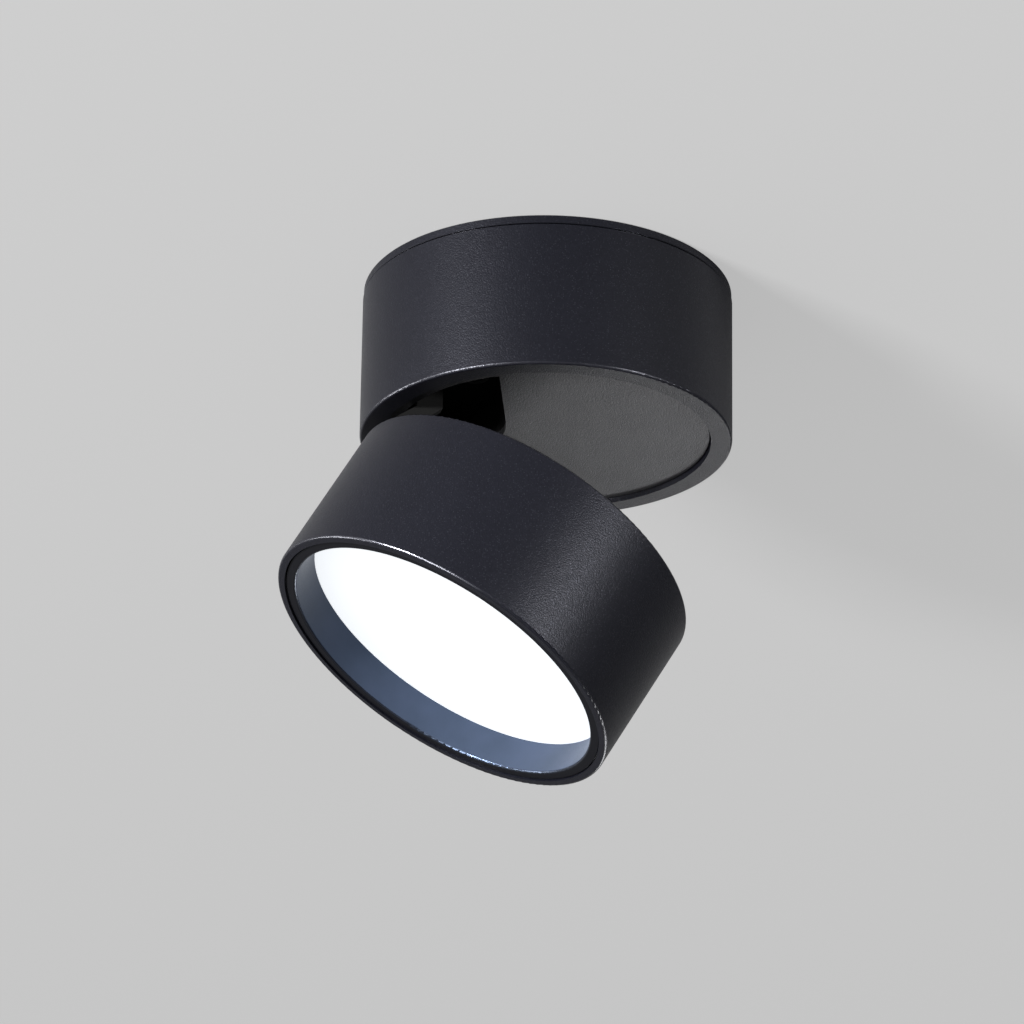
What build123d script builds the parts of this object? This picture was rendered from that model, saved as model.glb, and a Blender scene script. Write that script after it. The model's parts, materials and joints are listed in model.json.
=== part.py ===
"""Surface mounted ceiling spotlight: a round base on the ceiling and a round lamp head on a tilt hinge.

Frame: the origin is the centre of the mounting face. The ceiling is the plane z = 0 and the lamp hangs
towards -Z, with the hinge on the -X side. A disc in the base turns the hinge and the head round Z.
The head is built in its own tilted frame, open by rest_tilt from the folded pose.
"""
from build123d import *
from math import cos, radians, sin, sqrt, tan
import os

os.makedirs("parts", exist_ok=True)

# ---------------------------------------------------------------- driving dimensions, millimetres and degrees
body_radius = 50.0          # both drums
base_height = 43.2          # ceiling to the base's lower rim
head_length = 43.4          # head's back face to its front rim
rest_tilt = 30.0            # head opened from its folded pose
folded_gap = 7.5            # between the drums when folded
seat_gap = 0.3              # clearance between parts that move on each other
fit_gap = 0.5               # clearance between parts that are only placed in each other

plate_thickness = 2.2
plate_inset = 0.2           # plate rim inside the drum's outline
groove_line = 0.4           # dark line between plate and housing
housing_wall = 2.2
edge_round = 0.7

rim_ring_width = 5.7        # flat ring under the base, outside the turning disc
rim_ring_thickness = 3.0
disc_recess = 1.4
disc_thickness = 2.2
disc_rim_width = 1.8
flange_thickness = 1.8
slip_ring_thickness = 0.8
slip_ring_overlap = 0.3     # ring stands back from the ledge's edge
snap_ring_thickness = 1.2
snap_ring_width = 3.0
snap_ring_bite = 0.8
snap_play = 0.1
groove_overcut = 0.1        # groove's cut reaches this far inside the housing's bore
same_size = 0.01            # edges count as one circle within this
snap_ring_opening = 22.0    # degrees
snap_eye_margin = 2.0       # degrees, from the ring's ends
snap_eye_radius = 0.7

hook_count = 3
hook_wall = 2.0
hook_angle = 18.0
hook_ledge_thickness = 1.8
lug_thickness = 2.0
lug_reach = 2.2
lug_drop = 2.6              # lug's top below the housing's upper edge

slot_spacing = 64.0
slot_width = 4.6
slot_length = 12.0
cable_hole_radius = 6.5
cable_hole_x = -14.0
grommet_wall = 1.6
grommet_lip = 1.4
grommet_lip_thickness = 1.2

pocket_tip = 10.6           # from the axis to the tip of the pocket's shallow V edge
pocket_tip_radius = 20.0
pocket_rake = 16.4          # each half of the V edge leans back by this angle, degrees
pocket_rim = 1.4            # disc left standing outside the pocket
pocket_depth = 13.0         # above the disc's upper face
tray_sheet = 1.2
tray_lip = 4.0
tray_screw_spread = 24.0    # outer lip screws from the middle
tray_screw_radius = 1.2
tray_screw_head = 1.8
tray_screw_bite = 1.5       # into the disc
lead_radius = 2.5
lead_grommet_radius = 4.0
lead_grommet_lip = 1.5

pivot_inset = 6.0           # pivot from the drum's outline
pivot_above_back = 0.29     # pivot's height over the head's back face
ear_round = 3.1
ear_inner = 9.0
ear_thickness = 3.0
ear_foot = 0.4              # ear's lower edge over the pivot's level
ear_below_rim = 2.8         # start of the slanted outer face, below the base
ear_below_disc = 0.4
neck_inset = 2.6            # ear's neck from the pocket's outer wall
neck_width = 7.0
bracket_screw_y = 5.0
lead_hole_inset = 11.0      # tray's lead hole, inboard of the neck
ear_face_setback = 0.5      # ear's outer face inboard of the pivot
bracket_web = 3.5
pin_radius = 1.5
pin_head_radius = 2.6
pin_head_height = 1.2
pin_play = 0.05
socket_radius = 1.15
socket_depth = 0.9
nut_flats = 5.0
nut_height = 1.6
washer_thickness = 0.5
washer_radius = 2.9
groove_radius = 3.5
groove_half_length = 14.4

screw_play = 0.2
m4_head_radius = 3.6
m4_head_height = 2.4
m3_radius = 1.5
m3_head_radius = 2.7
m3_head_height = 1.8

back_wall = 2.5
boss_wall = 2.2             # wall behind the hinge groove
leaf_thickness = 2.0
leaf_length = 24.0          # from the pivot
leaf_screw_reach = 16.0     # middle of the leaf's screws, from the pivot
leaf_screw_spacing = 12.0
head_lead_reach = 36.0      # lead hole from the pivot
post_count = 3
post_radius = 3.2
post_inset = 5.8            # post's middle from the inner wall

trim_gap = 0.4
trim_lip_width = 2.7
trim_lip_thickness = 2.0
trim_setback = 0.5
baffle_wall = 1.5
baffle_depth = 10.4         # front rim to diffuser
diffuser_thickness = 2.0
chamber_depth = 11.4
chamber_wall = 1.2
chamber_inset = 0.6         # chamber's mouth inside the baffle's bore
board_thickness = 1.6
board_clearance = 2.3       # board's edge to the heat sink's screw heads
board_screw_circle = 25.0
board_screw_turn = 7.5
pad_thickness = 0.5
sink_base = 3.5
sink_clearance = 1.5
fin_tip_gap = 2.9           # fins' tips to the head's back wall
fin_thickness = 1.4
fin_pitch = 5.6
fin_clearance = 2.8         # fins' ends to the posts
led_length = 3.5
led_width = 2.8
led_height = 0.7
led_ring_step = 10.0
led_ring_count = 3
leds_in_first_ring = 6
connector_length = 9.0
connector_width = 6.0
connector_height = 4.0
connector_mouth = 0.9
connector_pitch = 3.0

driver_width = 26.0
driver_height = 17.0
driver_wall = 1.6
driver_corner = 2.0
driver_clearance = 2.6      # case's corners to the housing
driver_setback = 1.6        # case to the cable grommet
driver_ear = 7.0
driver_ear_thickness = 2.5
driver_ear_margin = 1.0
lid_thickness = 1.6
lid_round = 0.8
component_height = 8.5
transformer_length = 14.0
transformer_width = 15.0
capacitor_radius = 4.0
capacitor_margin = 7.878    # capacitor to the board's end
coil_radius = 3.2
coil_margin = 3.278         # coil to the board's end
pin_height = 1.6            # board's feet on the lid
foot_radius = 1.5
foot_inset = 5.0
terminal_length = 26.0
terminal_width = 13.0
terminal_height = 12.0
terminal_setback = 7.6      # block to the cable grommet
terminal_poles = 3
wire_mouth = 2.0
screw_well = 2.3
well_play = 0.2
terminal_screw_height = 2.5
slit_width = 0.8
clamp_side = 8.0
clamp_thickness = 1.2
earth_gap = 9.0             # terminal block to the earth clamp

swivel_stop_half_width = 1.6
swivel_stop_height = 4.0

# ---------------------------------------------------------------- levels and radii that follow
plate_radius = body_radius - plate_inset
plate_bottom = -plate_thickness
housing_top = plate_bottom - groove_line
base_bottom = -base_height
inner_radius = body_radius - housing_wall
opening_radius = body_radius - rim_ring_width
ledge_top = base_bottom + rim_ring_thickness
slip_top = ledge_top + slip_ring_thickness
flange_bottom = slip_top + seat_gap
flange_top = flange_bottom + flange_thickness
flange_radius = inner_radius - fit_gap
snap_bottom = flange_top + seat_gap
snap_top = snap_bottom + snap_ring_thickness
snap_inner = inner_radius + snap_ring_bite - snap_ring_width
stop_bottom = snap_top + fit_gap
disc_bottom = base_bottom + disc_recess
disc_top = disc_bottom + disc_thickness
disc_radius = opening_radius - fit_gap
disc_rim_inner = disc_radius - disc_rim_width
pocket_radius = disc_rim_inner - pocket_rim
tray_roof = disc_top + pocket_depth
hinge_offset = body_radius - pivot_inset
pivot_x = -hinge_offset
pivot_z = base_bottom - folded_gap + pivot_above_back
head_tilt = radians(rest_tilt)
ear_outer = ear_inner + ear_thickness
neck_outboard = pocket_radius - neck_inset
neck_inboard = neck_outboard - neck_width
neck_middle = -(neck_outboard + neck_inboard) / 2
tray_lead_x = -(neck_inboard - lead_hole_inset)


def head_point(x, y, z):
    """A point of the head's own frame, origin at its back face's centre, as a point of the lamp at rest."""
    from_pivot_x = x + hinge_offset
    from_pivot_z = z - pivot_above_back
    return Vector(
        pivot_x + from_pivot_x * cos(head_tilt) + from_pivot_z * sin(head_tilt),
        y,
        pivot_z - from_pivot_x * sin(head_tilt) + from_pivot_z * cos(head_tilt),
    )


head_x = (cos(head_tilt), 0, -sin(head_tilt))
head_z = (sin(head_tilt), 0, cos(head_tilt))
head_plane = Plane(origin=head_point(0, 0, 0), x_dir=head_x, z_dir=head_z)
head_section = Plane(origin=head_point(0, 0, 0), x_dir=head_x, z_dir=(0, -1, 0))
head_axis = Axis(head_point(0, 0, 0), head_z)
head_pivot = head_point(-hinge_offset, 0, pivot_above_back)
head_pivot_section = Plane(origin=head_pivot, x_dir=head_x, z_dir=(0, -1, 0))
pivot_section = Plane(origin=(pivot_x, 0, pivot_z), x_dir=(1, 0, 0), z_dir=(0, -1, 0))


def finish(part, label):
    """Name a finished piece and write it."""
    part.label = label
    export_step(part, f"parts/{label}.step")


def ring_profile(r_in, r_out, z_low, z_high):
    """Rectangle of a turned ring, inside a sketch on a plane through the axis."""
    with Locations(((r_in + r_out) / 2, (z_low + z_high) / 2)):
        Rectangle(r_out - r_in, z_high - z_low)


def sector(r_in, r_out, angle_start, angle_size):
    """Piece of a flat ring, inside a sketch."""
    with BuildLine() as outline:
        outer = CenterArc((0, 0), r_out, angle_start, angle_size)
        inner = CenterArc((0, 0), r_in, angle_start, angle_size)
        Line(outer @ 0, inner @ 0)
        Line(outer @ 1, inner @ 1)
    make_face(outline.edges())


def pocket_outline(grow):
    """Hinge side of the turning disc, closed towards the axis by a shallow V with a rounded tip."""
    Circle(pocket_radius + grow)
    rake = radians(pocket_rake)
    tip_x = -pocket_tip + grow / cos(rake)
    end_x = tip_x - body_radius * tan(rake)
    far_x = -2 * body_radius
    with BuildLine() as outline:
        FilletPolyline((end_x, body_radius), (tip_x, 0), (end_x, -body_radius), radius=pocket_tip_radius)
        Polyline((end_x, body_radius), (far_x, body_radius), (far_x, -body_radius), (end_x, -body_radius))
    make_face(outline.edges(), mode=Mode.INTERSECT)


def grommet(axis_plane, bore, hole, lip, back, front):
    """Rubber grommet on a plane through its axis: sleeve from back to front, lip beyond front."""
    lip_end = front + (grommet_lip_thickness if front > back else -grommet_lip_thickness)
    with BuildPart() as piece:
        with BuildSketch(axis_plane) as section:
            ring_profile(bore, hole, min(back, front), max(back, front))
            ring_profile(bore, lip, min(front, lip_end), max(front, lip_end))
        revolve(section.sketch, axis=Axis(axis_plane.origin, axis_plane.y_dir))
    return piece.part


# ================================================================ base
hook_outer = inner_radius - fit_gap
hook_inner = hook_outer - lug_reach - hook_wall
lug_top = housing_top - lug_drop
lug_bottom = lug_top - lug_thickness
hook_angles = [90 + k * 360 / hook_count for k in range(hook_count)]

# Mounting plate: disc with ceiling slots, cable hole and three twist-lock hooks that hold the housing's lugs.
with BuildPart() as mounting_plate:
    with BuildSketch(Plane.XY.offset(plate_bottom)):
        Circle(plate_radius)
        with GridLocations(slot_spacing, 0, 2, 1):
            SlotOverall(slot_length, slot_width, mode=Mode.SUBTRACT)
        with Locations((cable_hole_x, 0)):
            Circle(cable_hole_radius, mode=Mode.SUBTRACT)
    extrude(amount=plate_thickness)
    circles = mounting_plate.edges().filter_by(GeomType.CIRCLE)
    rim_edges = circles.filter_by(lambda e: abs(e.radius - plate_radius) < same_size)
    chamfer(rim_edges, plate_inset)
    with BuildSketch(Plane.XY.offset(plate_bottom)):
        for angle in hook_angles:
            sector(hook_inner, hook_inner + hook_wall, angle - hook_angle / 2, hook_angle)
    extrude(amount=-(plate_bottom - lug_bottom + hook_ledge_thickness))
    with BuildSketch(Plane.XY.offset(lug_bottom)):
        for angle in hook_angles:
            sector(hook_inner, hook_outer, angle - hook_angle / 2, hook_angle)
    extrude(amount=-hook_ledge_thickness)
finish(mounting_plate.part, "mounting_plate")

# Rubber grommet in the plate's cable hole, its lip below.
cable_bore = cable_hole_radius - grommet_wall
cable_lip = cable_hole_radius + grommet_lip
cable_section = Plane(origin=(cable_hole_x, 0, 0), x_dir=(1, 0, 0), z_dir=(0, -1, 0))
finish(grommet(cable_section, cable_bore, cable_hole_radius, cable_lip, 0, plate_bottom), "plate_grommet")

# Base housing: turned drum with a ledge below for the turning disc and a groove for the snap ring.
with BuildPart() as base_housing:
    with BuildSketch(Plane.XZ):
        ring_profile(inner_radius, body_radius, base_bottom, housing_top)
        ring_profile(opening_radius, body_radius, base_bottom, ledge_top)
    groove_out = inner_radius + snap_ring_bite + snap_play
    revolve(axis=Axis.Z)
    with BuildSketch(Plane.XZ):
        ring_profile(inner_radius - groove_overcut, groove_out, snap_bottom - snap_play, snap_top + snap_play)
    revolve(axis=Axis.Z, mode=Mode.SUBTRACT)
    outer_edges = base_housing.edges().filter_by(GeomType.CIRCLE)
    lower_rim = outer_edges.filter_by(lambda e: abs(e.radius - body_radius) < same_size).sort_by(Axis.Z)
    fillet(lower_rim[0], edge_round)
    upper_rim = base_housing.edges().filter_by(GeomType.CIRCLE).sort_by(Axis.Z).group_by(Axis.Z)[-1]
    chamfer(upper_rim.sort_by(lambda e: e.radius)[-1], plate_inset)
    with BuildSketch(Plane.XY.offset(lug_bottom)):
        for angle in hook_angles:
            lug_start = angle - hook_angle / 2
            sector(inner_radius - lug_reach, inner_radius + housing_wall / 2, lug_start, hook_angle)
    extrude(amount=lug_thickness)
    with BuildSketch(Plane.XY.offset(stop_bottom)):
        stop_reach = inner_radius - disc_rim_inner
        with Locations((inner_radius - stop_reach / 2 + housing_wall / 4, 0)):
            Rectangle(stop_reach + housing_wall / 2, 2 * swivel_stop_half_width)
    extrude(amount=swivel_stop_height)
finish(base_housing.part, "base_housing")

# Slip ring on the ledge, under the turning disc's flange.
with BuildPart() as slip_ring:
    with BuildSketch(Plane.XZ):
        ring_profile(opening_radius + slip_ring_overlap, inner_radius - seat_gap, ledge_top, slip_top)
    revolve(axis=Axis.Z)
finish(slip_ring.part, "slip_ring")

# Snap ring in the housing's groove, open over a short angle and with two eyes for the pliers.
with BuildPart() as snap_ring:
    with BuildSketch(Plane.XY.offset(snap_bottom)):
        sector(snap_inner, inner_radius + snap_ring_bite, 90 + snap_ring_opening / 2, 360 - snap_ring_opening)
        eye_circle = (snap_inner + inner_radius) / 2
        first_eye = 90 - snap_ring_opening / 2 - snap_eye_margin
        eye_angle = snap_ring_opening + 2 * snap_eye_margin
        with PolarLocations(eye_circle, 2, first_eye, eye_angle, endpoint=True):
            Circle(snap_eye_radius, mode=Mode.SUBTRACT)
    extrude(amount=snap_ring_thickness)
finish(snap_ring.part, "snap_ring")

# Driver: open case with two ears against the plate, a lid below and the board between.
driver_y = cable_lip + driver_setback + driver_width / 2
driver_corner_radius = inner_radius - driver_clearance
driver_length = 2 * sqrt(driver_corner_radius**2 - (driver_y + driver_width / 2) ** 2)
driver_bottom = plate_bottom - driver_height
ear_y = driver_y - driver_width / 4
ear_screw_spacing = driver_length + driver_ear
ear_face = plate_bottom - driver_ear_thickness
with BuildPart() as driver_case:
    with BuildSketch(Plane.XY.offset(plate_bottom)):
        with Locations((0, driver_y)):
            RectangleRounded(driver_length, driver_width, driver_corner)
    extrude(amount=-(driver_height - lid_thickness))
    with BuildSketch(Plane.XY.offset(plate_bottom - driver_wall)):
        with Locations((0, driver_y)):
            Rectangle(driver_length - 2 * driver_wall, driver_width - 2 * driver_wall)
    extrude(amount=-driver_height, mode=Mode.SUBTRACT)
    with BuildSketch(Plane.XY.offset(plate_bottom)):
        with Locations((0, ear_y)):
            SlotOverall(driver_length + 2 * driver_ear, 2 * (m3_head_radius + driver_ear_margin))
            Rectangle(driver_length - driver_wall, driver_width, mode=Mode.SUBTRACT)
            with GridLocations(ear_screw_spacing, 0, 2, 1):
                Circle(m3_radius + screw_play, mode=Mode.SUBTRACT)
    extrude(amount=-driver_ear_thickness)
finish(driver_case.part, "driver_case")

with BuildPart() as driver_lid:
    with BuildSketch(Plane.XY.offset(driver_bottom)):
        with Locations((0, driver_y)):
            RectangleRounded(driver_length, driver_width, driver_corner)
    extrude(amount=lid_thickness)
    fillet(driver_lid.edges().group_by(Axis.Z)[0], lid_round)
finish(driver_lid.part, "driver_lid")

# Driver board with its transformer, capacitor and coil, standing on the lid with four feet.
board_length = driver_length - 2 * (driver_wall + fit_gap)
board_width = driver_width - 2 * (driver_wall + fit_gap)
driver_board_bottom = driver_bottom + lid_thickness + pin_height
driver_board_top = driver_board_bottom + board_thickness
with BuildPart() as driver_board:
    with BuildSketch(Plane.XY.offset(driver_board_bottom)):
        with Locations((0, driver_y)):
            Rectangle(board_length, board_width)
    extrude(amount=board_thickness)
    with BuildSketch(Plane.XY.offset(driver_board_top)):
        with Locations((-transformer_length / 4, driver_y)):
            Rectangle(transformer_length, transformer_width)
        with Locations((board_length / 2 - capacitor_margin - capacitor_radius, driver_y + capacitor_radius)):
            Circle(capacitor_radius)
        with Locations((coil_margin + coil_radius - board_length / 2, driver_y - coil_radius)):
            Circle(coil_radius)
    extrude(amount=component_height)
    with BuildSketch(Plane.XY.offset(driver_board_bottom)):
        with Locations((0, driver_y)):
            with GridLocations(board_length - 2 * foot_inset, board_width - 2 * foot_inset, 2, 2):
                Circle(foot_radius)
    extrude(amount=-pin_height)
finish(driver_board.part, "driver_board")

# Screws that hold the driver's ears, driven from below up to the plate.
with BuildPart() as driver_screws:
    with BuildSketch(Plane.XY.offset(ear_face)):
        with Locations((0, ear_y)):
            with GridLocations(ear_screw_spacing, 0, 2, 1):
                Circle(m3_radius)
    extrude(amount=driver_ear_thickness)
    with BuildSketch(Plane.XY.offset(ear_face)):
        with Locations((0, ear_y)):
            with GridLocations(ear_screw_spacing, 0, 2, 1):
                Circle(m3_head_radius)
    extrude(amount=-m3_head_height)
finish(driver_screws.part, "driver_screws")

# Terminal block: three poles with wire mouths on both long sides and screw wells below.
pole_pitch = terminal_length / terminal_poles
terminal_y = -(cable_lip + terminal_setback + terminal_width / 2)
terminal_bottom = plate_bottom - terminal_height
well_depth = terminal_height / 3
with BuildPart() as terminal_block:
    with BuildSketch(Plane.XY.offset(plate_bottom)):
        with Locations((0, terminal_y)):
            Rectangle(terminal_length, terminal_width)
    extrude(amount=-terminal_height)
    with BuildSketch(Plane.XZ.offset(-(terminal_y - terminal_width / 2))):
        with Locations((0, terminal_bottom + terminal_height / 2 + wire_mouth)):
            with GridLocations(pole_pitch, 0, terminal_poles, 1):
                Circle(wire_mouth)
    extrude(amount=-terminal_width, mode=Mode.SUBTRACT)
    with BuildSketch(Plane.XY.offset(terminal_bottom)):
        with Locations((0, terminal_y)):
            with GridLocations(pole_pitch, 0, terminal_poles, 1):
                Circle(screw_well)
    extrude(amount=well_depth, mode=Mode.SUBTRACT)
finish(terminal_block.part, "terminal_block")

with BuildPart() as terminal_screws:
    with BuildSketch(Plane.XY.offset(terminal_bottom + well_depth)):
        with Locations((0, terminal_y)):
            with GridLocations(pole_pitch, 0, terminal_poles, 1):
                Circle(screw_well - well_play)
    extrude(amount=-terminal_screw_height)
    with BuildSketch(Plane.XY.offset(terminal_bottom + well_depth - terminal_screw_height)):
        with Locations((0, terminal_y)):
            with GridLocations(pole_pitch, 0, terminal_poles, 1):
                Rectangle(2 * screw_well, slit_width)
    extrude(amount=slit_width, mode=Mode.SUBTRACT)
finish(terminal_screws.part, "terminal_screws")

# Earth screw with its square clamp on the plate.
earth_place = (-(terminal_length / 2 + earth_gap + clamp_side / 2), terminal_y)
earth_head_bottom = plate_bottom - clamp_thickness - m4_head_height
with BuildPart() as earth_screw:
    with BuildSketch(Plane.XY.offset(plate_bottom)):
        with Locations(earth_place):
            Rectangle(clamp_side, clamp_side)
    extrude(amount=-clamp_thickness)
    with BuildSketch(Plane.XY.offset(plate_bottom - clamp_thickness)):
        with Locations(earth_place):
            Circle(m4_head_radius)
    extrude(amount=-m4_head_height)
    with BuildSketch(Plane.XY.offset(earth_head_bottom)):
        with Locations(earth_place):
            Rectangle(3 * m4_head_radius, slit_width)
    extrude(amount=slit_width, mode=Mode.SUBTRACT)
finish(earth_screw.part, "earth_screw")

# ================================================================ swivel
lip_middle = tray_sheet + tray_lip / 2
screw_edge_x = -pocket_tip + lip_middle / cos(radians(pocket_rake))
spread_x = screw_edge_x - tray_screw_spread * tan(radians(pocket_rake))
tray_screw_places = [(spread_x, tray_screw_spread), (screw_edge_x, 0), (spread_x, -tray_screw_spread)]

# Turning disc: recessed face plate, turned-up rim and flange, with the pocket's opening on the hinge side.
with BuildPart() as swivel_disc:
    with BuildSketch(Plane.XZ):
        with Locations((disc_radius / 2, (disc_bottom + disc_top) / 2)):
            Rectangle(disc_radius, disc_thickness)
        ring_profile(disc_rim_inner, disc_radius, disc_bottom, flange_top)
        ring_profile(disc_rim_inner, flange_radius, flange_bottom, flange_top)
    revolve(axis=Axis.Z)
    with BuildSketch(Plane.XY.offset(disc_bottom)):
        pocket_outline(0)
    extrude(amount=disc_thickness, mode=Mode.SUBTRACT)
    with BuildSketch(Plane.XY.offset(flange_top)):
        with Locations((-(disc_rim_inner + disc_rim_width / 2), 0)):
            Rectangle(disc_rim_width, 2 * swivel_stop_half_width)
    extrude(amount=stop_bottom + swivel_stop_height - flange_top)
    with BuildSketch(Plane.XY.offset(disc_top)):
        with Locations(*tray_screw_places):
            Circle(tray_screw_radius)
    extrude(amount=-tray_screw_bite, mode=Mode.SUBTRACT)
finish(swivel_disc.part, "swivel_disc")

# Pocket tray: drawn sheet cup over the pocket's opening, its lip on the disc.
with BuildPart() as pocket_tray:
    with BuildSketch(Plane.XY.offset(disc_top)):
        pocket_outline(tray_sheet)
    extrude(amount=pocket_depth + tray_sheet)
    with BuildSketch(Plane.XY.offset(disc_top)):
        pocket_outline(tray_lip + tray_sheet)
        Circle(disc_rim_inner - seat_gap, mode=Mode.INTERSECT)
    extrude(amount=tray_sheet)
    with BuildSketch(Plane.XY.offset(disc_top)):
        pocket_outline(0)
    extrude(amount=pocket_depth, mode=Mode.SUBTRACT)
    with BuildSketch(Plane.XY.offset(tray_roof)):
        with Locations((neck_middle, 0)):
            with GridLocations(0, 2 * bracket_screw_y, 1, 2):
                Circle(m3_radius + screw_play)
        with Locations((tray_lead_x, 0)):
            Circle(lead_grommet_radius)
    extrude(amount=tray_sheet, mode=Mode.SUBTRACT)
    with BuildSketch(Plane.XY.offset(disc_top)):
        with Locations(*tray_screw_places):
            Circle(tray_screw_radius)
    extrude(amount=tray_sheet, mode=Mode.SUBTRACT)
finish(pocket_tray.part, "pocket_tray")

# Screws that hold the tray's lip on the disc.
with BuildPart() as tray_screws:
    with BuildSketch(Plane.XY.offset(disc_top + tray_sheet)):
        with Locations(*tray_screw_places):
            Circle(tray_screw_radius)
    extrude(amount=-(tray_sheet + tray_screw_bite))
    with BuildSketch(Plane.XY.offset(disc_top + tray_sheet)):
        with Locations(*tray_screw_places):
            Circle(tray_screw_head)
    extrude(amount=tray_sheet)
finish(tray_screws.part, "tray_screws")

lead_lip = lead_grommet_radius + lead_grommet_lip
tray_lead_section = Plane(origin=(tray_lead_x, 0, tray_roof), x_dir=(1, 0, 0), z_dir=(0, -1, 0))
finish(grommet(tray_lead_section, lead_radius, lead_grommet_radius, lead_lip, 0, tray_sheet), "tray_grommet")

# Hinge bracket: web under the tray's roof and two dog-leg ears that run down past the base to the pivot.
with BuildPart() as hinge_bracket:
    with BuildSketch(Plane.XZ.offset(ear_outer)):
        with BuildLine():
            face_x = pivot_x + ear_face_setback
            round_top = pivot_z + sqrt(ear_round**2 - ear_face_setback**2)
            Polyline(
                (face_x, round_top),
                (face_x, base_bottom - ear_below_rim),
                (-neck_outboard, disc_bottom - ear_below_disc),
                (-neck_outboard, tray_roof),
                (-neck_inboard, tray_roof),
                (-neck_inboard, disc_bottom - ear_below_disc),
                (pivot_x + ear_round, pivot_z + ear_foot),
                (pivot_x, pivot_z + ear_foot),
                (pivot_x, round_top),
                (face_x, round_top),
            )
        make_face()
        with Locations((pivot_x, pivot_z)):
            Circle(ear_round)
            Circle(pin_radius + pin_play, mode=Mode.SUBTRACT)
    extrude(amount=-2 * ear_outer)
    with BuildSketch(Plane.XY.offset(tray_roof - bracket_web)):
        Rectangle(4 * body_radius, 2 * ear_inner)
    extrude(amount=-base_height, mode=Mode.SUBTRACT)
    with BuildSketch(Plane.XY.offset(tray_roof)):
        with Locations((neck_middle, 0)):
            with GridLocations(0, 2 * bracket_screw_y, 1, 2):
                Circle(m3_radius)
    extrude(amount=-bracket_web, mode=Mode.SUBTRACT)
finish(hinge_bracket.part, "hinge_bracket")

# Screws through the tray's roof into the bracket's web.
with BuildPart() as bracket_screws:
    with BuildSketch(Plane.XY.offset(tray_roof + tray_sheet)):
        with Locations((neck_middle, 0)):
            with GridLocations(0, 2 * bracket_screw_y, 1, 2):
                Circle(m3_radius)
    extrude(amount=-(tray_sheet + bracket_web))
    with BuildSketch(Plane.XY.offset(tray_roof + tray_sheet)):
        with Locations((neck_middle, 0)):
            with GridLocations(0, 2 * bracket_screw_y, 1, 2):
                Circle(m3_head_radius)
    extrude(amount=m3_head_height)
finish(bracket_screws.part, "bracket_screws")

# Hinge pin with a low socket head, lock nut and the washers between ears and barrel.
with BuildPart() as hinge_pin:
    with BuildSketch(pivot_section.offset(ear_outer)):
        Circle(pin_radius)
    extrude(amount=-(2 * ear_outer + nut_height))
    with BuildSketch(pivot_section.offset(ear_outer)):
        Circle(pin_head_radius)
    extrude(amount=pin_head_height)
    with BuildSketch(pivot_section.offset(ear_outer + pin_head_height)):
        RegularPolygon(socket_radius, 6)
    extrude(amount=-socket_depth, mode=Mode.SUBTRACT)
finish(hinge_pin.part, "hinge_pin")

with BuildPart() as hinge_nut:
    with BuildSketch(pivot_section.offset(-ear_outer)):
        RegularPolygon(nut_flats / 2, 6, major_radius=False)
        Circle(pin_radius, mode=Mode.SUBTRACT)
    extrude(amount=-nut_height)
finish(hinge_nut.part, "hinge_nut")

with BuildPart() as hinge_washers:
    for side in (1, -1):
        with BuildSketch(pivot_section.offset(side * ear_inner)):
            Circle(washer_radius)
            Circle(pin_radius + pin_play, mode=Mode.SUBTRACT)
        extrude(amount=-side * washer_thickness)
finish(hinge_washers.part, "hinge_washers")

# ================================================================ head
barrel_half = ear_inner - washer_thickness - seat_gap
optics_depth = baffle_depth + diffuser_thickness + chamber_depth
sink_front = -(head_length - optics_depth - board_thickness - pad_thickness)
sink_back = sink_front + sink_base
fin_height = -(back_wall + fin_tip_gap) - sink_back
board_back = sink_front - pad_thickness
board_front = board_back - board_thickness
diffuser_front = -(head_length - baffle_depth)
diffuser_back = diffuser_front + diffuser_thickness
head_front = -head_length
trim_outer = inner_radius - trim_gap
trim_inner = trim_outer - trim_lip_width
trim_front = head_front + trim_setback
trim_back = trim_front + trim_lip_thickness
trim_lug_inner = trim_inner + baffle_wall + seat_gap
post_circle = inner_radius - post_inset
sink_radius = inner_radius - sink_clearance
fin_field_radius = post_circle - post_radius - fin_clearance
board_radius = post_circle - m3_head_radius - board_clearance
leaf_middle = pivot_x + leaf_screw_reach
head_lead_x = pivot_x + head_lead_reach
boss_end = pivot_x + groove_radius

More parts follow.
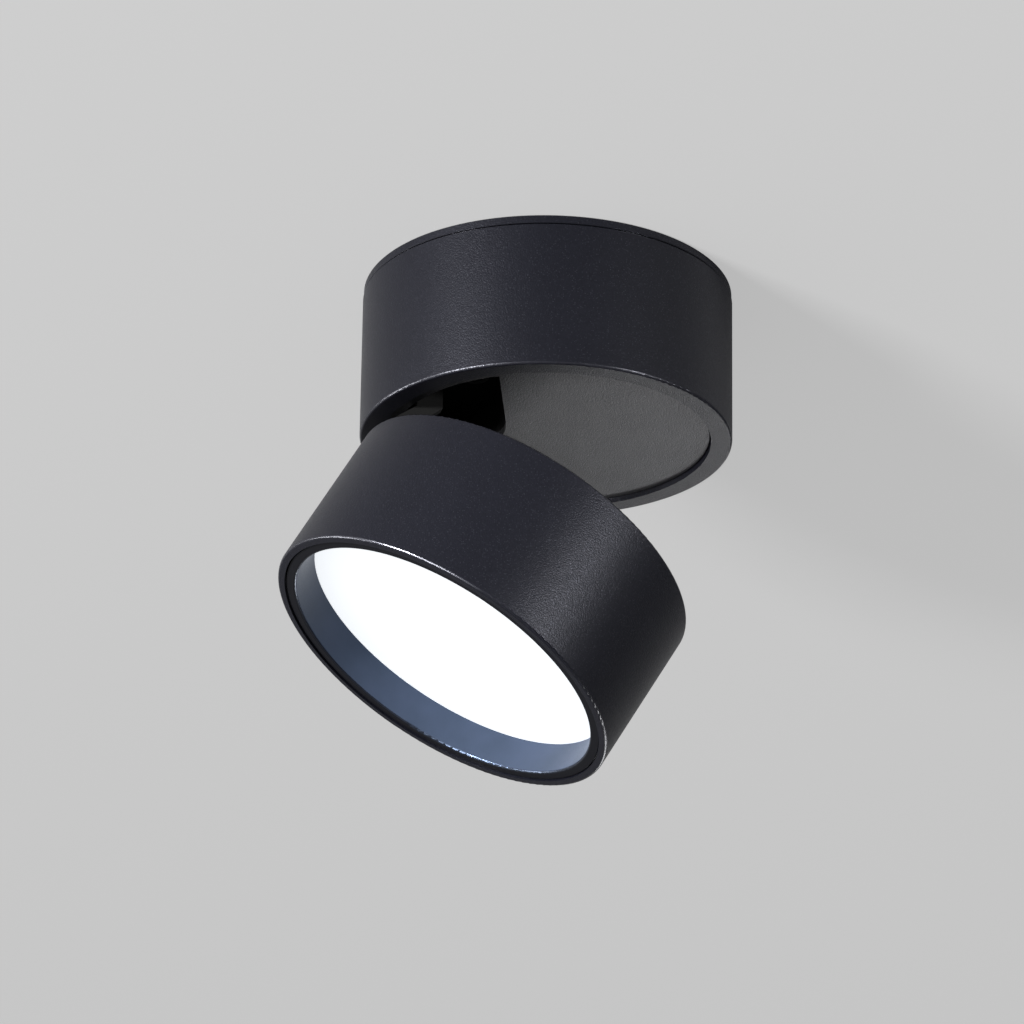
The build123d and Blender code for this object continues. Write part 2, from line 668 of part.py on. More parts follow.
# Head housing: drum closed at the back, with a cross groove for the hinge and posts for the heat sink.
with BuildPart() as head_housing:
    with BuildSketch(head_section):
        with Locations((body_radius / 2, -back_wall / 2)):
            Rectangle(body_radius, back_wall)
        ring_profile(inner_radius, body_radius, head_front, 0)
    revolve(axis=head_axis)
    circles = head_housing.edges().filter_by(GeomType.CIRCLE)
    rims = circles.filter_by(lambda e: abs(e.radius - body_radius) < same_size)
    fillet(rims, edge_round)
    with BuildSketch(head_plane.offset(-back_wall)):
        Circle(inner_radius + housing_wall / 2)
        with Locations(((boss_end - body_radius) / 2, 0)):
            Rectangle(boss_end + body_radius, 2 * (groove_half_length + boss_wall), mode=Mode.INTERSECT)
    extrude(amount=-(groove_radius + boss_wall - pivot_above_back - back_wall))
    with BuildSketch(head_plane.offset(-back_wall)):
        with PolarLocations(post_circle, post_count):
            Circle(post_radius)
    extrude(amount=sink_back + back_wall)
    with BuildSketch(head_pivot_section.offset(groove_half_length)):
        Circle(groove_radius)
    extrude(amount=-2 * groove_half_length, mode=Mode.SUBTRACT)
    with BuildSketch(head_plane):
        with Locations((leaf_middle, 0)):
            with GridLocations(leaf_screw_spacing, 0, 2, 1):
                Circle(m3_radius)
        with Locations((head_lead_x, 0)):
            Circle(lead_grommet_radius)
    extrude(amount=-back_wall, mode=Mode.SUBTRACT)
    with BuildSketch(head_plane.offset(trim_back)):
        for k in range(post_count):
            lug_start = (k + 0.5) * 360 / post_count - hook_angle / 2
            sector(trim_lug_inner, inner_radius + housing_wall / 2, lug_start, hook_angle)
    extrude(amount=lug_thickness)
finish(head_housing.part, "head_housing")

# Hinge leaf: barrel round the pin and a flat leaf on the head's back.
with BuildPart() as hinge_leaf:
    with BuildSketch(head_pivot_section.offset(barrel_half)):
        Circle(ear_round)
        with BuildLine():
            Polyline(
                (0, -pivot_above_back),
                (leaf_length, -pivot_above_back),
                (leaf_length, leaf_thickness - pivot_above_back),
                (ear_round - seat_gap, leaf_thickness - pivot_above_back),
                (0, ear_round - seat_gap),
                (0, -pivot_above_back),
            )
        make_face()
        Circle(pin_radius + pin_play, mode=Mode.SUBTRACT)
    extrude(amount=-2 * barrel_half)
    with BuildSketch(head_plane.offset(leaf_thickness)):
        with Locations((leaf_middle, 0)):
            with GridLocations(leaf_screw_spacing, 0, 2, 1):
                Circle(m3_radius + screw_play)
    extrude(amount=-leaf_thickness, mode=Mode.SUBTRACT)
finish(hinge_leaf.part, "hinge_leaf")

with BuildPart() as leaf_screws:
    with BuildSketch(head_plane.offset(leaf_thickness)):
        with Locations((leaf_middle, 0)):
            with GridLocations(leaf_screw_spacing, 0, 2, 1):
                Circle(m3_radius)
    extrude(amount=-(leaf_thickness + back_wall))
    with BuildSketch(head_plane.offset(leaf_thickness)):
        with Locations((leaf_middle, 0)):
            with GridLocations(leaf_screw_spacing, 0, 2, 1):
                Circle(m3_head_radius)
    extrude(amount=m3_head_height)
finish(leaf_screws.part, "leaf_screws")

head_lead_section = Plane(origin=head_point(head_lead_x, 0, 0), x_dir=head_x, z_dir=(0, -1, 0))
finish(grommet(head_lead_section, lead_radius, lead_grommet_radius, lead_lip, -back_wall, 0), "head_grommet")

# Heat sink: base disc on the housing's posts, straight fins towards the back.
fin_count = int(2 * fin_field_radius / fin_pitch)
with BuildPart() as heat_sink:
    with BuildSketch(head_plane.offset(sink_front)):
        Circle(sink_radius)
        with PolarLocations(post_circle, post_count):
            Circle(m3_radius + screw_play, mode=Mode.SUBTRACT)
    extrude(amount=sink_base)
    with BuildSketch(head_plane.offset(sink_back)):
        with GridLocations(0, fin_pitch, 1, fin_count):
            Rectangle(2 * fin_field_radius, fin_thickness)
        Circle(fin_field_radius, mode=Mode.INTERSECT)
    extrude(amount=fin_height)
finish(heat_sink.part, "heat_sink")

with BuildPart() as heat_sink_screws:
    with BuildSketch(head_plane.offset(sink_front)):
        with PolarLocations(post_circle, post_count):
            Circle(m3_radius)
    extrude(amount=sink_base)
    with BuildSketch(head_plane.offset(sink_front)):
        with PolarLocations(post_circle, post_count):
            Circle(m3_head_radius)
    extrude(amount=-m3_head_height)
finish(heat_sink_screws.part, "heat_sink_screws")

with BuildPart() as thermal_pad:
    with BuildSketch(head_plane.offset(board_back)):
        Circle(board_radius - fit_gap)
    extrude(amount=pad_thickness)
finish(thermal_pad.part, "thermal_pad")

with BuildPart() as led_board:
    with BuildSketch(head_plane.offset(board_front)):
        Circle(board_radius)
        with Locations((-board_radius, 0)):
            Circle(lead_radius, mode=Mode.SUBTRACT)
    extrude(amount=board_thickness)
finish(led_board.part, "led_board")

# LEDs in rings round the board's centre.
with BuildPart() as led_chips:
    with BuildSketch(head_plane.offset(board_front)):
        for ring in range(1, led_ring_count + 1):
            with PolarLocations(ring * led_ring_step, ring * leds_in_first_ring):
                Rectangle(led_length, led_width)
    extrude(amount=-led_height)
finish(led_chips.part, "led_chips")

# Plug connector in the board's middle, its two mouths towards the hinge.
connector_face = head_point(-connector_length / 2, 0, board_front - connector_height / 2)
with BuildPart() as board_connector:
    with BuildSketch(head_plane.offset(board_front)):
        Rectangle(connector_length, connector_width)
    extrude(amount=-connector_height)
    with BuildSketch(Plane(origin=connector_face, x_dir=(0, 1, 0), z_dir=head_x)):
        with GridLocations(connector_pitch, 0, 2, 1):
            Circle(connector_mouth)
    extrude(amount=connector_length / 2, mode=Mode.SUBTRACT)
finish(board_connector.part, "board_connector")

with BuildPart() as board_screws:
    with BuildSketch(head_plane.offset(board_front)):
        with PolarLocations(board_screw_circle, post_count, board_screw_turn):
            Circle(m3_head_radius)
    extrude(amount=-m3_head_height)
finish(board_screws.part, "board_screws")

# Reflector chamber: white cone between the board and the diffuser.
with BuildPart() as reflector_chamber:
    with BuildSketch(head_section):
        with BuildLine():
            back_radius = board_radius + chamber_wall
            front_radius = trim_inner - chamber_inset
            Polyline(
                (back_radius, board_front),
                (back_radius + chamber_wall, board_front),
                (front_radius + chamber_wall, diffuser_back + chamber_wall),
                (trim_outer - fit_gap, diffuser_back + chamber_wall),
                (trim_outer - fit_gap, diffuser_back),
                (front_radius, diffuser_back),
                (back_radius, board_front),
            )
        make_face()
    revolve(axis=head_axis)
finish(reflector_chamber.part, "reflector_chamber")

# Opal diffuser, clamped between the chamber's flange and the baffle's end.
with BuildPart() as diffuser:
    with BuildSketch(head_plane.offset(diffuser_front)):
        Circle(trim_outer - fit_gap)
    extrude(amount=diffuser_thickness)
finish(diffuser.part, "diffuser")

# Anti-glare ring: black baffle tube with a lip at the front, held by the housing's lugs behind the lip.
with BuildPart() as anti_glare_ring:
    with BuildSketch(head_section):
        ring_profile(trim_inner, trim_inner + baffle_wall, diffuser_front, trim_front)
        ring_profile(trim_inner, trim_outer, trim_front, trim_back)
    revolve(axis=head_axis)
    lips = anti_glare_ring.edges().filter_by(GeomType.CIRCLE)
    front_lip = lips.filter_by(lambda e: abs(e.radius - trim_inner) < same_size).sort_by(Axis.Z)[0]
    fillet(front_lip, edge_round)
finish(anti_glare_ring.part, "anti_glare_ring")
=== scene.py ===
"""Studio picture of a surface mounted ceiling spotlight, seen from below at the photograph's viewing angle.

The lamp's shapes all come from the frame. This script gives each node its material and adds the ceiling,
the lamps, the surroundings and the camera.
"""
import json
from math import cos, radians, sin

import bpy
from mathutils import Matrix, Vector

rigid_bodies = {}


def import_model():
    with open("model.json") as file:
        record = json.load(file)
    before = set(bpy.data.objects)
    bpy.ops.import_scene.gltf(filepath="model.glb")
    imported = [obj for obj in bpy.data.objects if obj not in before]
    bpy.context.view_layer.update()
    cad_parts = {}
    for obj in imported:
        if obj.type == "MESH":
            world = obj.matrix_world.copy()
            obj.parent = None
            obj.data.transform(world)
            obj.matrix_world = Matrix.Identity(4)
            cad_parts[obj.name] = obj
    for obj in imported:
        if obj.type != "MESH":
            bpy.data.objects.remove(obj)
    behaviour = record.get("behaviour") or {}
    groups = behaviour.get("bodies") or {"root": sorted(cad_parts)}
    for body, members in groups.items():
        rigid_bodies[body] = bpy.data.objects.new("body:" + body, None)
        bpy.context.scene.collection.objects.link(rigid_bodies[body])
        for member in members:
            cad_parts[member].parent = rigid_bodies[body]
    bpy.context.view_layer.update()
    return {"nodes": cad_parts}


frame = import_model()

nodes = frame["nodes"]
MM = 0.001

# ---------------------------------------------------------------- camera, from the photograph's perspective
IMAGE_SIZE = 1024
FOCAL_PIXELS = 5896.0
CENTRE_PIXEL = (512.94, 511.12)      # where the camera's axis meets the picture
SENSOR_MM = 36.0
CLIP_START = 0.05
CAMERA_DISTANCE = 1591.2 * MM
CAMERA_BELOW = radians(24.9)
CAMERA_AROUND = radians(13.07)       # from the part's -Y towards its hinge side
AIM_HEIGHT = -20 * MM                # distance and angles are taken from here on the part's axis
AIM_PITCH = radians(-1.44)
AIM_YAW = radians(-0.34)
AIM_ROLL = radians(0.84)


def make_camera():
    """Camera at the photograph's place, looking up at the lamp."""
    turn = Matrix.Rotation(-CAMERA_AROUND, 3, "Z")
    back = CAMERA_DISTANCE * cos(CAMERA_BELOW)
    down = CAMERA_DISTANCE * sin(CAMERA_BELOW)
    place = turn @ Vector((0, -back, AIM_HEIGHT - down))
    rise = CAMERA_BELOW + AIM_PITCH
    ahead = turn @ (Matrix.Rotation(-AIM_YAW, 3, "Z") @ Vector((0, cos(rise), sin(rise))))
    right = ahead.cross(Vector((0, 0, 1))).normalized()
    up = right.cross(ahead)
    rolled_right = cos(AIM_ROLL) * right + sin(AIM_ROLL) * up
    rolled_up = cos(AIM_ROLL) * up - sin(AIM_ROLL) * right

    data = bpy.data.cameras.new("camera")
    data.sensor_width = SENSOR_MM
    data.lens = FOCAL_PIXELS / IMAGE_SIZE * SENSOR_MM
    data.shift_x = (IMAGE_SIZE / 2 - CENTRE_PIXEL[0]) / IMAGE_SIZE
    data.shift_y = (CENTRE_PIXEL[1] - IMAGE_SIZE / 2) / IMAGE_SIZE
    data.clip_start = CLIP_START
    camera = bpy.data.objects.new("camera", data)
    bpy.context.collection.objects.link(camera)
    axes = Matrix((rolled_right, rolled_up, -ahead)).transposed()
    camera.matrix_world = Matrix.Translation(place) @ axes.to_4x4()
    bpy.context.scene.camera = camera


# ---------------------------------------------------------------- node helpers
NOISE_SPAN = (0.3, 0.7)              # nearly all values of a noise lie in here
NOISE_ROUGHNESS = 0.55


def new_material(name):
    """Empty node material with its output and object coordinates."""
    material = bpy.data.materials.new(name)
    material.use_nodes = True
    tree = material.node_tree
    tree.nodes.clear()
    output = tree.nodes.new("ShaderNodeOutputMaterial")
    place = tree.nodes.new("ShaderNodeTexCoord").outputs["Object"]
    return material, tree, output, place


def noise(tree, place, size, detail=3.0):
    """Noise whose features are about size millimetres wide."""
    node = tree.nodes.new("ShaderNodeTexNoise")
    node.inputs["Scale"].default_value = 1 / (size * MM)
    node.inputs["Detail"].default_value = detail
    node.inputs["Roughness"].default_value = NOISE_ROUGHNESS
    tree.links.new(place, node.inputs["Vector"])
    return node.outputs["Fac"]


def grains(tree, place, size):
    """Cells about size millimetres wide: the distance from each cell's middle and its random value."""
    node = tree.nodes.new("ShaderNodeTexVoronoi")
    node.inputs["Scale"].default_value = 1 / (size * MM)
    tree.links.new(place, node.inputs["Vector"])
    split = tree.nodes.new("ShaderNodeSeparateColor")
    tree.links.new(node.outputs["Color"], split.inputs["Color"])
    return node.outputs["Distance"], split.outputs["Red"]


def spread(tree, value, source, target):
    """Value mapped from the source range to the target range, and kept inside it."""
    node = tree.nodes.new("ShaderNodeMapRange")
    node.inputs["From Min"].default_value, node.inputs["From Max"].default_value = source
    node.inputs["To Min"].default_value, node.inputs["To Max"].default_value = target
    tree.links.new(value, node.inputs["Value"])
    return node.outputs["Result"]


def calculate(tree, operation, *values):
    """Result of a math operation on one or two values."""
    node = tree.nodes.new("ShaderNodeMath")
    node.operation = operation
    for value, socket in zip(values, node.inputs):
        tree.links.new(value, socket)
    return node.outputs["Value"]


def times(tree, a, b):
    """Product of two values."""
    return calculate(tree, "MULTIPLY", a, b)


def cosine_to(tree, vector, axis):
    """How far a unit vector points along a fixed axis."""
    node = tree.nodes.new("ShaderNodeVectorMath")
    node.operation = "DOT_PRODUCT"
    node.inputs[1].default_value = axis
    tree.links.new(vector, node.inputs[0])
    return node.outputs["Value"]


def between(tree, share, a, b, kind="FLOAT"):
    """Number, colour or link a where share is nought, and b where it is one."""
    node = tree.nodes.new("ShaderNodeMix")
    node.data_type = kind
    for name, value in (("A", a), ("B", b)):
        if isinstance(value, bpy.types.NodeSocket):
            tree.links.new(value, node.inputs[name])
        else:
            node.inputs[name].default_value = value
    tree.links.new(share, node.inputs["Factor"])
    return node.outputs["Result"]


def blend_colours(tree, share, dark, light):
    """Colour between dark and light."""
    return between(tree, share, (*dark, 1), (*light, 1), kind="RGBA")


def mix_shaders(tree, share, first, second):
    """First shader where share is nought, and second where it is one."""
    node = tree.nodes.new("ShaderNodeMixShader")
    for source, socket in zip((share, first, second), node.inputs):
        tree.links.new(source, socket)
    return node.outputs["Shader"]


def bump(tree, height, depth, strength=1.0):
    """Bump of depth millimetres from a height value."""
    node = tree.nodes.new("ShaderNodeBump")
    node.inputs["Strength"].default_value = strength
    node.inputs["Distance"].default_value = depth * MM
    tree.links.new(height, node.inputs["Height"])
    return node.outputs["Normal"]


def principled(tree, output, colour, roughness, normal, metallic=0.0, specular=0.5):
    """Principled shader on the given colour, roughness and normal links, as the material's surface."""
    shader = tree.nodes.new("ShaderNodeBsdfPrincipled")
    shader.inputs["Metallic"].default_value = metallic
    shader.inputs["Specular IOR Level"].default_value = specular
    tree.links.new(colour, shader.inputs["Base Color"])
    tree.links.new(roughness, shader.inputs["Roughness"])
    tree.links.new(normal, shader.inputs["Normal"])
    tree.links.new(shader.outputs["BSDF"], output.inputs["Surface"])
    return shader


# ---------------------------------------------------------------- rounded rims
REST_TILT = radians(30)
HEAD_AXIS = (-sin(REST_TILT), 0, -cos(REST_TILT))    # in object space, which is the part's at rest
BASE_AXIS = (0, 0, 1)
RIM_RISE = (0.15, 0.45)              # cosines to the axis over which a rim begins, coming from the wall
RIM_FALL = (0.80, 0.98)              # and over which it ends at the flat face
RIM_GLOSS = 0.8                      # the coat is thin and shiny there
RIM_ROUGHNESS = 0.27
RIM_TEXTURE = 0.2


def facing(tree, axis):
    """Nought on a wall that runs along the axis, one on a face across it."""
    normal = tree.nodes.new("ShaderNodeTexCoord").outputs["Normal"]
    return calculate(tree, "ABSOLUTE", cosine_to(tree, normal, axis))


def rim_share(tree, faced):
    """One on a rounded rim, nought on the wall and on the flat face beside it."""
    return times(tree, spread(tree, faced, RIM_RISE, (0, 1)), spread(tree, faced, RIM_FALL, (1, 0)))


# ---------------------------------------------------------------- black coats and mouldings
PEBBLE_SIZE = 0.38                   # all sizes and depths of the coat's relief in mm
PEBBLE_DEPTH = 0.044
FINE_SHARE = 0.4                     # of the fine noise in the relief, against the pebbles
COAT_CLOUD = 14
COAT_CLOUD_SPAN = (0.35, 0.65)
COAT_TONE = (0.40, 0.50)             # between the dark and the light colour
COAT_MOTTLE = (0.5, 1.5)
COAT_ROUGHNESS = (0.36, 0.42)
COAT_GLOSS = 0.25
COAT_SHEEN = (0.88, 0.89, 1.0, 1)
FLAKE_SPAN = (0.70, 1.0)             # random values of the grains that catch the lamps
FLAKE_MIDDLE = (0.1, 0.5)            # a flake fades out over these distances from its grain's middle
FLAKE_COLOUR = (0.80, 0.84, 1.0, 1)
FLAKE_ROUGHNESS = 0.34
FLAKE_DEPTH = 0.12
FINE_SKIN = 0.30                     # grain of moulded black pieces, its relief and their clouds, in mm
SKIN_DEPTH = 0.012
SKIN_STRENGTH = 0.6
SKIN_CLOUD = 9
HIDDEN_CLOUDS = (0.3, 1)
HIDDEN_MOTTLE = (0.6, 1.2)


def black_powder_coat(name, dark, light, sparkle, axis, painted_shadow_mm=None):
    """Sand-textured black coat: pebbled relief, mottled tone and small grains that catch the lamps.

    The colour goes from dark to light along X over the two given places in millimetres, where these are
    given: a painted shadow, at the dark colour below the first place.
    """
    material, tree, output, place = new_material(name)
    pebbles, grain_value = grains(tree, place, PEBBLE_SIZE)
    fine = noise(tree, place, PEBBLE_SIZE, detail=1)
    cloud = noise(tree, place, COAT_CLOUD, detail=2)
    edge = rim_share(tree, facing(tree, axis))

    tone = spread(tree, cloud, COAT_CLOUD_SPAN, COAT_TONE)
    tone = times(tree, tone, spread(tree, fine, NOISE_SPAN, COAT_MOTTLE))
    # painted shadow: the tone falls to nought along X, so the colour goes to the dark one where shade falls
    if painted_shadow_mm is not None:
        split = tree.nodes.new("ShaderNodeSeparateXYZ")
        tree.links.new(place, split.inputs["Vector"])
        painted_shadow = spread(tree, split.outputs["X"], [x * MM for x in painted_shadow_mm], (0, 1))
        tone = times(tree, tone, painted_shadow)
    colour = blend_colours(tree, tone, dark, light)

    hills = spread(tree, pebbles, (0, 1), (1, 0))
    relief = calculate(tree, "ADD", hills, spread(tree, fine, NOISE_SPAN, (0, FINE_SHARE)))
    relief = times(tree, relief, between(tree, edge, 1, RIM_TEXTURE))
    roughness = between(tree, edge, spread(tree, fine, NOISE_SPAN, COAT_ROUGHNESS), RIM_ROUGHNESS)
    coat = principled(tree, output, colour, roughness, bump(tree, relief, PEBBLE_DEPTH))
    tree.links.new(between(tree, edge, COAT_GLOSS, RIM_GLOSS), coat.inputs["Specular IOR Level"])
    coat.inputs["Specular Tint"].default_value = COAT_SHEEN

    flake = tree.nodes.new("ShaderNodeBsdfAnisotropic")
    flake.inputs["Color"].default_value = FLAKE_COLOUR
    flake.inputs["Roughness"].default_value = FLAKE_ROUGHNESS
    tree.links.new(bump(tree, grain_value, FLAKE_DEPTH), flake.inputs["Normal"])
    share = spread(tree, grain_value, FLAKE_SPAN, (0, sparkle))
    share = times(tree, share, spread(tree, pebbles, FLAKE_MIDDLE, (1, 0)))
    share = times(tree, share, between(tree, edge, 1, 0))
    surface = mix_shaders(tree, share, coat.outputs["BSDF"], flake.outputs["BSDF"])
    tree.links.new(surface, output.inputs["Surface"])
    return material


def hidden_black(name, dark, light, roughness, specular):
    """Dull black of the pieces in the pocket: fine skin and cloudy sheen."""
    material, tree, output, place = new_material(name)
    fine = noise(tree, place, FINE_SKIN, detail=2)
    cloud = noise(tree, place, SKIN_CLOUD)
    clouded = spread(tree, cloud, NOISE_SPAN, HIDDEN_CLOUDS)
    tone = times(tree, clouded, spread(tree, fine, NOISE_SPAN, HIDDEN_MOTTLE))
    rough = spread(tree, cloud, NOISE_SPAN, roughness)
    normal = bump(tree, fine, SKIN_DEPTH, SKIN_STRENGTH)
    principled(tree, output, blend_colours(tree, tone, dark, light), rough, normal, specular=specular)
    return material


LIP_SPAN = (0.20, 0.50)              # cosines to the axis: the bore's wall has less, the lip more
LIP_COLOUR = (0.004, 0.004, 0.005, 1)
LIP_GLOSS = 0.08
# painted light: these blue-grey bore colours stand in for the diffuser's light on the black ring
PAINTED_GLOW_BORE_DARK = (0.026, 0.036, 0.057)
PAINTED_GLOW_BORE_LIGHT = (0.032, 0.043, 0.070)
BORE_GLOSS = 0.30
BORE_ROUGHNESS = (0.32, 0.44)
PAINTED_GLOW_BORE_SHEEN = (0.50, 0.66, 1.0, 1)


def trim_black(name):
    """Trim ring: black lip, and a smooth bore that the photograph shows blue-grey beside the diffuser; that
    blue-grey colour and the bluish sheen tint are painted light from the diffuser on the black ring.
    """
    material, tree, output, place = new_material(name)
    fine = noise(tree, place, FINE_SKIN, detail=2)
    cloud = noise(tree, place, SKIN_CLOUD)
    faced = facing(tree, HEAD_AXIS)
    edge = rim_share(tree, faced)
    lip = spread(tree, faced, LIP_SPAN, (0, 1))
    # painted light: the bore's blue-grey colour, where the diffuser lights it
    bore = blend_colours(tree, spread(tree, cloud, NOISE_SPAN, (0, 1)), PAINTED_GLOW_BORE_DARK, PAINTED_GLOW_BORE_LIGHT)
    colour = between(tree, lip, bore, LIP_COLOUR, kind="RGBA")
    roughness = between(tree, edge, spread(tree, fine, NOISE_SPAN, BORE_ROUGHNESS), RIM_ROUGHNESS)
    shader = principled(tree, output, colour, roughness, bump(tree, fine, SKIN_DEPTH, SKIN_STRENGTH))
    shader.inputs["Specular Tint"].default_value = PAINTED_GLOW_BORE_SHEEN
    gloss = between(tree, edge, spread(tree, lip, (0, 1), (BORE_GLOSS, LIP_GLOSS)), RIM_GLOSS)
    tree.links.new(gloss, shader.inputs["Specular IOR Level"])
    return material


# ---------------------------------------------------------------- the other materials
LIT_COLOUR = (0.93, 0.965, 1.0, 1)
LIT_STRENGTH = 0.84


def opal_diffuser(name, dark, light, roughness):
    """Lit opal disc: even white with a fine frosted skin."""
    material, tree, output, place = new_material(name)
    frost = noise(tree, place, size=0.3, detail=2)
    cloud = noise(tree, place, size=30)
    colour = blend_colours(tree, spread(tree, cloud, NOISE_SPAN, (0, 1)), dark, light)
    rough = spread(tree, frost, NOISE_SPAN, roughness)
    shader = principled(tree, output, colour, rough, bump(tree, frost, depth=0.01, strength=0.4))
    shader.inputs["Emission Color"].default_value = LIT_COLOUR
    shader.inputs["Emission Strength"].default_value = LIT_STRENGTH
    return material


def plain_metal(name, dark, light, roughness, grain):
    """Bare or blackened metal, clouded by a grain of that many millimetres."""
    material, tree, output, place = new_material(name)
    clouds = noise(tree, place, grain, detail=4)
    colour = blend_colours(tree, spread(tree, clouds, NOISE_SPAN, (0, 1)), dark, light)
    rough = spread(tree, clouds, NOISE_SPAN, roughness)
    principled(tree, output, colour, rough, bump(tree, clouds, depth=0.01, strength=0.4), metallic=1.0)
    return material


def moulded(name, dark, light, roughness, grain=0.5, depth=0.01):
    """Plastic, rubber or board: a skin of grain and depth in millimetres, and slight tone changes."""
    material, tree, output, place = new_material(name)
    skin = noise(tree, place, grain, detail=2)
    cloud = noise(tree, place, size=8)
    colour = blend_colours(tree, spread(tree, cloud, NOISE_SPAN, (0, 1)), dark, light)
    rough = spread(tree, skin, NOISE_SPAN, roughness)
    principled(tree, output, colour, rough, bump(tree, skin, depth, strength=0.5))
    return material


# ---------------------------------------------------------------- which node gets which material
COAT = {"dark": (0.0012, 0.0013, 0.0028), "light": (0.0055, 0.0058, 0.0094), "sparkle": 0.06}

FINISHES = {
    black_powder_coat("base_coat", axis=BASE_AXIS, **COAT): ("mounting_plate", "base_housing"),
    black_powder_coat("head_coat", axis=HEAD_AXIS, **COAT): ("head_housing", "hinge_leaf"),
    # painted shadow: the disc is coloured nearly black beside the hinge, where the head's shadow falls, as
    # the photograph shows the disc there
    black_powder_coat(
        "disc_coat", dark=(0.005, 0.005, 0.006), light=(0.106, 0.106, 0.109),
        sparkle=0.03, axis=BASE_AXIS, painted_shadow_mm=(-22, -6),
    ): ("swivel_disc",),
    hidden_black(
        "hidden_black", dark=(0.003, 0.003, 0.003), light=(0.008, 0.008, 0.008),
        roughness=(0.7, 0.85), specular=0.1,
    ): ("pocket_tray", "hinge_bracket"),
    trim_black("black_baffle"): ("anti_glare_ring",),
    opal_diffuser(
        "opal", dark=(0.93, 0.93, 0.92), light=(0.96, 0.96, 0.95), roughness=(0.35, 0.5),
    ): ("diffuser",),
    plain_metal(
        "bright_steel", dark=(0.50, 0.50, 0.51), light=(0.66, 0.66, 0.67), roughness=(0.28, 0.42), grain=1.2,
    ): (
        "snap_ring", "driver_screws", "terminal_screws", "earth_screw", "bracket_screws",
        "hinge_washers", "heat_sink_screws", "board_screws", "tray_screws",
    ),
    plain_metal(
        "black_steel", dark=(0.03, 0.03, 0.033), light=(0.07, 0.07, 0.075), roughness=(0.35, 0.5), grain=0.8,
    ): ("hinge_pin", "hinge_nut", "leaf_screws"),
    plain_metal(
        "aluminium", dark=(0.70, 0.70, 0.71), light=(0.82, 0.82, 0.83), roughness=(0.30, 0.45), grain=2.0,
    ): ("heat_sink",),
    moulded(
        "white_plastic", dark=(0.74, 0.74, 0.72), light=(0.82, 0.82, 0.80), roughness=(0.40, 0.52),
    ): ("driver_case", "driver_lid", "terminal_block", "board_connector", "reflector_chamber"),
    moulded(
        "slip_plastic", dark=(0.66, 0.66, 0.62), light=(0.75, 0.75, 0.71), roughness=(0.35, 0.48),
    ): ("slip_ring",),
    moulded(
        "rubber_black", dark=(0.014, 0.014, 0.014), light=(0.024, 0.024, 0.024),
        roughness=(0.65, 0.8), grain=0.4, depth=0.02,
    ): ("plate_grommet", "tray_grommet", "head_grommet"),
    moulded(
        "board_white", dark=(0.76, 0.78, 0.74), light=(0.82, 0.84, 0.80), roughness=(0.32, 0.42),
    ): ("led_board",),
    moulded(
        "board_green", dark=(0.02, 0.10, 0.035), light=(0.03, 0.14, 0.05), roughness=(0.30, 0.42),
    ): ("driver_board",),
    moulded(
        "pad_grey", dark=(0.30, 0.31, 0.34), light=(0.36, 0.37, 0.40), roughness=(0.7, 0.85),
    ): ("thermal_pad",),
    moulded(
        "led_yellow", dark=(0.78, 0.60, 0.12), light=(0.85, 0.68, 0.18), roughness=(0.25, 0.35),
    ): ("led_chips",),
}


def assign_finishes():
    """Give every node its material."""
    for material, names in FINISHES.items():
        for name in names:
            mesh = nodes[name].data
            mesh.materials.clear()
            mesh.materials.append(material)


# ---------------------------------------------------------------- ceiling, lamps and surroundings
CEILING_COLOUR = (0.82, 0.82, 0.82)
CEILING_MOTTLE = 0.98                # its darkest tone against that colour
CEILING_ROUGHNESS = (0.85, 0.95)
CEILING_HALF = 3.0
CEILING_GAP = 0.2 * MM
BACKGROUND = (0.636, 0.636, 0.636, 1)
SHADOW_SHARE = 0.28                  # how much of the ceiling's own shading the camera sees
LAMP_MIDDLE = (0, 0, -0.06)
HEAD_LOW = (0, 0, -0.10)
DIM_TO_BRIGHT = (-0.6, 0.5)          # cosines to the brightest side over which the surroundings change
DIM_LIGHT = 0.14
BRIGHT_LIGHT = 0.46


def direction(azimuth, elevation):
    """Unit vector: azimuth 0 is the camera's side and positive goes right, a negative elevation is low."""
    around = radians(azimuth) - CAMERA_AROUND
    up = radians(elevation)
    return Vector((sin(around) * cos(up), -cos(around) * cos(up), sin(up)))


def make_ceiling():
    """Pale ceiling that is evened out where the camera sees it, and clear when it is looked at from above."""
    material, tree, output, place = new_material("ceiling_paint")
    skin = noise(tree, place, size=1.5)
    cloud = noise(tree, place, size=400)
    low = [CEILING_MOTTLE * c for c in CEILING_COLOUR]
    colour = blend_colours(tree, spread(tree, cloud, NOISE_SPAN, (0, 1)), low, CEILING_COLOUR)
    roughness = spread(tree, skin, NOISE_SPAN, CEILING_ROUGHNESS)
    relief = bump(tree, skin, depth=0.02, strength=0.2)
    paint = principled(tree, output, colour, roughness, relief, specular=0.1)

    even = tree.nodes.new("ShaderNodeEmission")
    even.inputs["Color"].default_value = BACKGROUND
    even.inputs["Strength"].default_value = 1.0
    camera_ray = tree.nodes.new("ShaderNodeLightPath").outputs["Is Camera Ray"]
    share = spread(tree, camera_ray, (0, 1), (0, 1 - SHADOW_SHARE))
    seen = mix_shaders(tree, share, paint.outputs["BSDF"], even.outputs["Emission"])
    clear = tree.nodes.new("ShaderNodeBsdfTransparent")
    from_above = tree.nodes.new("ShaderNodeNewGeometry").outputs["Backfacing"]
    surface = mix_shaders(tree, from_above, seen, clear.outputs["BSDF"])
    tree.links.new(surface, output.inputs["Surface"])

    half, gap = CEILING_HALF, CEILING_GAP
    corners = [(-half, -half, gap), (-half, half, gap), (half, half, gap), (half, -half, gap)]
    mesh = bpy.data.meshes.new("ceiling")
    mesh.from_pydata(corners, [], [(0, 1, 2, 3)])
    mesh.materials.append(material)
    ceiling = bpy.data.objects.new("ceiling", mesh)
    bpy.context.collection.objects.link(ceiling)


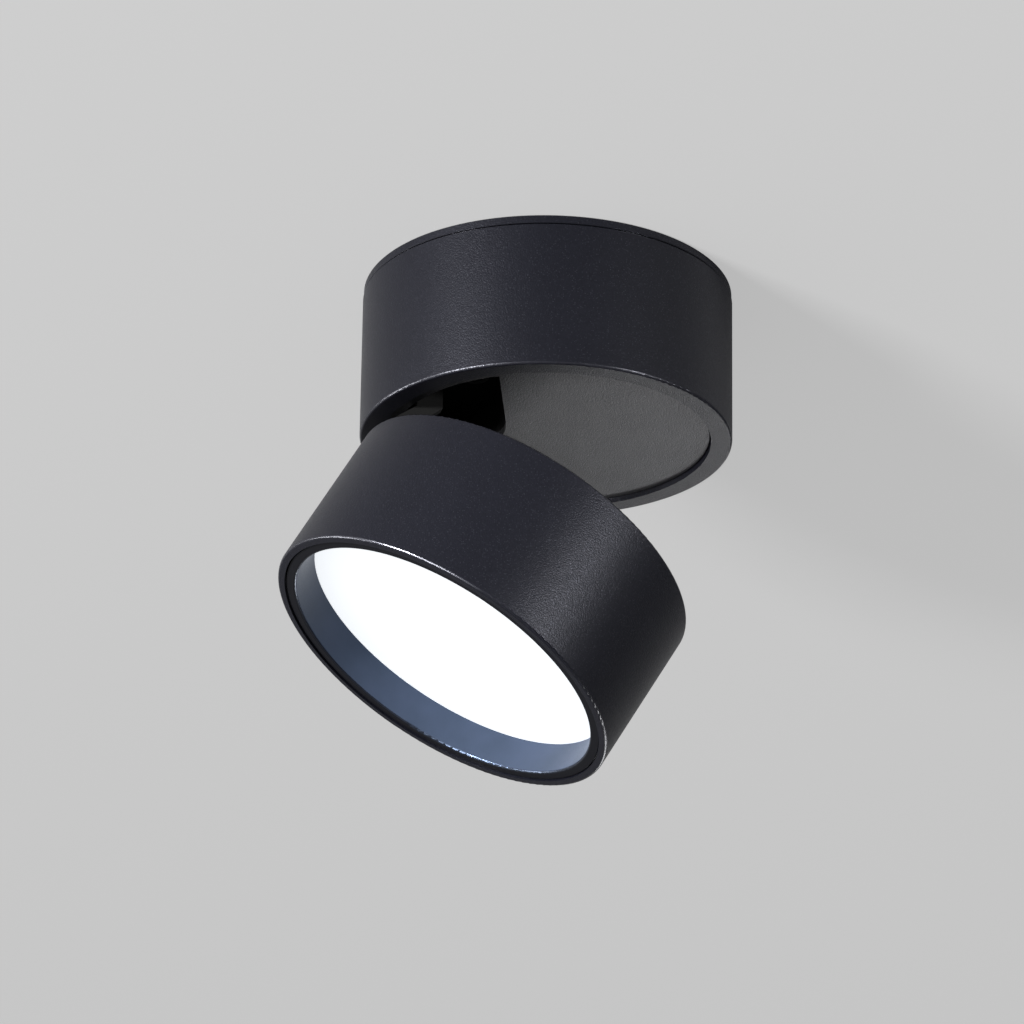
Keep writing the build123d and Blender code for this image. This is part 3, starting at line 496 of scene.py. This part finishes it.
def softbox(name, lit, azimuth, elevation, distance, width, height, power, aim=LAMP_MIDDLE):
    """Area lamp of that power in watts, for the objects in lit alone."""
    data = bpy.data.lights.new(name, "AREA")
    data.shape = "RECTANGLE"
    data.size = width
    data.size_y = height
    data.energy = power
    target = Vector(aim)
    place = target + distance * direction(azimuth, elevation)
    lamp = bpy.data.objects.new(name, data)
    lamp.location = place
    lamp.rotation_euler = (target - place).to_track_quat("-Z", "Y").to_euler()
    bpy.context.collection.objects.link(lamp)
    receivers = bpy.data.collections.new(name + "_lit")
    for piece in lit:
        receivers.objects.link(piece)
    lamp.light_linking.receiver_collection = receivers


def make_world(azimuth, elevation):
    """Pale surroundings, brightest in the given direction, with a flat background behind them."""
    world = bpy.data.worlds.new("studio")
    world.use_nodes = True
    tree = world.node_tree
    tree.nodes.clear()
    output = tree.nodes.new("ShaderNodeOutputWorld")
    outward = tree.nodes.new("ShaderNodeTexCoord").outputs["Generated"]
    towards = cosine_to(tree, outward, direction(azimuth, elevation))
    light = tree.nodes.new("ShaderNodeBackground")
    light.inputs["Color"].default_value = (1, 1, 1, 1)
    strength = spread(tree, towards, DIM_TO_BRIGHT, (DIM_LIGHT, BRIGHT_LIGHT))
    tree.links.new(strength, light.inputs["Strength"])
    seen = tree.nodes.new("ShaderNodeBackground")
    seen.inputs["Color"].default_value = BACKGROUND
    camera_ray = tree.nodes.new("ShaderNodeLightPath").outputs["Is Camera Ray"]
    pick = mix_shaders(tree, camera_ray, light.outputs["Background"], seen.outputs["Background"])
    tree.links.new(pick, output.inputs["Surface"])
    bpy.context.scene.world = world


make_camera()
assign_finishes()
make_ceiling()
make_world(azimuth=-60, elevation=25)

# The diffuser shines by itself, and the key lamp leaves the base and the disc as dark as the photograph does.
# The ceiling stays last in the key lamp's list: with it first, the head's highlight came out in two ways,
# one or the other by chance.
dark_pieces = [piece for name, piece in nodes.items() if name != "diffuser"]
key_pieces = [piece for piece in dark_pieces if piece.parent.name == "body:head"]
key_pieces.append(bpy.data.objects["ceiling"])
softbox("key", key_pieces, azimuth=-42, elevation=-24, distance=2.4, width=0.5, height=0.5, power=50)
softbox("left_far", dark_pieces, azimuth=-94, elevation=-7, distance=0.9, width=0.35, height=0.12, power=4.0)
softbox(
    "left_near", dark_pieces, azimuth=-50, elevation=-4, distance=0.9, width=0.14, height=0.09, power=17.5,
)
softbox(
    "low_right", dark_pieces, azimuth=51, elevation=-6, distance=0.9, width=0.06, height=0.14, power=5.4,
    aim=HEAD_LOW,
)
softbox("back_low", dark_pieces, azimuth=164, elevation=-28, distance=1.4, width=0.6, height=0.3, power=3.6)
bpy.context.scene.view_settings.view_transform = "Standard"
